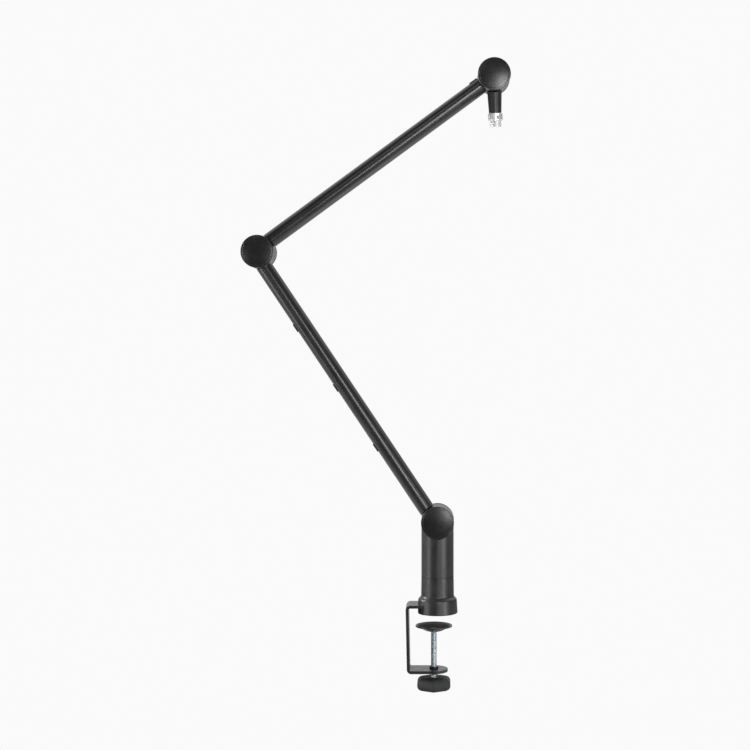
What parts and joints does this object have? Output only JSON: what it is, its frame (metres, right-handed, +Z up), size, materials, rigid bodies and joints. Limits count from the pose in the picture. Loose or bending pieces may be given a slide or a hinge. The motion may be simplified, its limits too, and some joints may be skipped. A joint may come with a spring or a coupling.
{
  "type": "microphone boom arm",
  "caption": "Desk-clamp microphone boom arm: swivelling post, two tube arms on round half-lap friction hinges with hidden springs, tilting mount with a screw thread.",
  "frame": {"origin": "centre of the desk pad's underside, on the swivel post's axis, in the plane of the desk top", "axes": "+Z up along the post, +X to the right as the picture shows the arm, so the arms move in the XZ plane at rest, +Y to the back along the hinge axes"},
  "size_m": [0.3649, 0.0546, 0.8579],
  "materials": {
    "arm_tube": "satin black anodised tube",
    "cast_body": "die-cast, satin black powder coat",
    "hinge_cap": "moulded, satin black",
    "clamp_strap": "pressed steel, satin black paint",
    "knob": "moulded, satin black",
    "clip": "moulded, black",
    "pad": "moulded rubber",
    "zinc_steel": "bright zinc plate",
    "black_screw": "black oxide",
    "spring_steel": "oil-tempered wire and strip",
    "friction_plastic": "acetal",
    "bearing_bronze": "turned bronze",
    "bright_nickel": "bright nickel plate"
  },
  "bodies": {
    "clamp": {"clamp_bracket": "clamp_strap", "base_collar": "cast_body", "desk_pad": "pad", "clamp_nut": "black_screw", "swivel_spindle": "zinc_steel", "swivel_washer": "friction_plastic", "swivel_disc_spring": "spring_steel", "swivel_nut": "zinc_steel"},
    "pressure_plate": {"pressure_plate": "clamp_strap"},
    "clamp_screw": {"clamp_screw": "zinc_steel", "screw_knob": "knob"},
    "post": {"post_housing": "cast_body", "swivel_bearing": "bearing_bronze", "post_grub_screw": "black_screw", "base_front_cap": "hinge_cap", "base_hinge_bolt": "zinc_steel", "base_hinge_nut": "zinc_steel", "base_disc_spring": "spring_steel", "base_friction_ring": "friction_plastic", "base_torsion_spring": "spring_steel"},
    "lower_arm": {"lower_arm_tube": "arm_tube", "lower_arm_root_knuckle": "cast_body", "lower_arm_head_knuckle": "cast_body", "lower_arm_grub_screws": "black_screw", "lower_arm_cable_clips": "clip", "base_rear_cap": "hinge_cap", "elbow_front_cap": "hinge_cap", "elbow_hinge_bolt": "zinc_steel", "elbow_hinge_nut": "zinc_steel", "elbow_disc_spring": "spring_steel", "elbow_friction_ring": "friction_plastic", "elbow_torsion_spring": "spring_steel"},
    "upper_arm": {"upper_arm_tube": "arm_tube", "upper_arm_root_knuckle": "cast_body", "upper_arm_head_knuckle": "cast_body", "upper_arm_grub_screws": "black_screw", "upper_arm_cable_clips": "clip", "elbow_rear_cap": "hinge_cap", "tip_front_cap": "hinge_cap", "tip_hinge_bolt": "zinc_steel", "tip_hinge_nut": "zinc_steel", "tip_disc_spring": "spring_steel", "tip_friction_ring": "friction_plastic"},
    "mic_mount": {"mic_mount": "cast_body", "mic_stud": "zinc_steel", "thread_adapter": "bright_nickel", "tip_rear_cap": "hinge_cap"}
  },
  "joints": [
    {"name": "plate_slide", "type": "slide", "parent": "clamp", "child": "pressure_plate", "axis": [0, 0, 1], "range_m": [-0.045, 0.007]},
    {"name": "screw_turn", "type": "hinge", "parent": "pressure_plate", "child": "clamp_screw", "pos_m": [-0.005, 0, -0.06], "axis": [0, 0, 1], "range_deg": [-12960, 2016]},
    {"name": "post_swivel", "type": "hinge", "parent": "clamp", "child": "post", "pos_m": [0, 0, 0.05], "axis": [0, 0, 1], "continuous": true},
    {"name": "base_hinge", "type": "hinge", "parent": "post", "child": "lower_arm", "pos_m": [0, 0, 0.125], "axis": [0, 1, 0], "range_deg": [-30, 110], "deforming": ["base_torsion_spring"]},
    {"name": "elbow_hinge", "type": "hinge", "parent": "lower_arm", "child": "upper_arm", "pos_m": [-0.2435, 0, 0.49148], "axis": [0, 1, 0], "range_deg": [-90, 45], "deforming": ["elbow_torsion_spring"]},
    {"name": "tip_hinge", "type": "hinge", "parent": "upper_arm", "child": "mic_mount", "pos_m": [0.07681, 0, 0.7311], "axis": [0, 1, 0], "range_deg": [-150, 1]}
  ],
  "couplings": [
    {"joint": "plate_slide", "follows": "screw_turn", "m_per_rad": 0.00019894}
  ]
}
